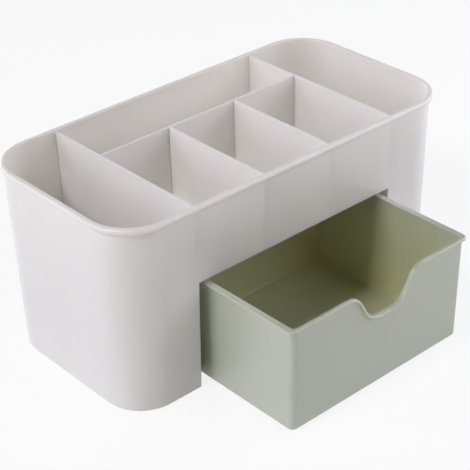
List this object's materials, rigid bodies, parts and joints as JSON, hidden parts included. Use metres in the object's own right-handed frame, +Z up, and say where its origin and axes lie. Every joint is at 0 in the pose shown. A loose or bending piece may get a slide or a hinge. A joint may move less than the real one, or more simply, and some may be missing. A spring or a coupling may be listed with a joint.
{
  "type": "desktop organizer with drawer",
  "caption": "Rounded white desktop organizer with open compartments in its top and a green drawer with a finger scoop that slides out of its front.",
  "frame": {"origin": "middle of the tub's underside, on the surface it stands on", "axes": "+X to the right along the length, +Y to the back, +Z up; the drawer opens towards -Y"},
  "size_m": [0.22, 0.1676, 0.104],
  "materials": {
    "white_plastic": "satin moulded",
    "green_plastic": "satin moulded"
  },
  "bodies": {
    "housing": {"outer_shell": "white_plastic", "drawer_bay": "white_plastic", "long_divider": "white_plastic", "front_divider_left": "white_plastic", "front_divider_right": "white_plastic"},
    "drawer": {"drawer": "green_plastic"}
  },
  "joints": [
    {"name": "drawer_slide", "type": "slide", "parent": "housing", "child": "drawer", "axis": [0, -1, 0], "range_m": [-0.0573, 0.02]}
  ]
}
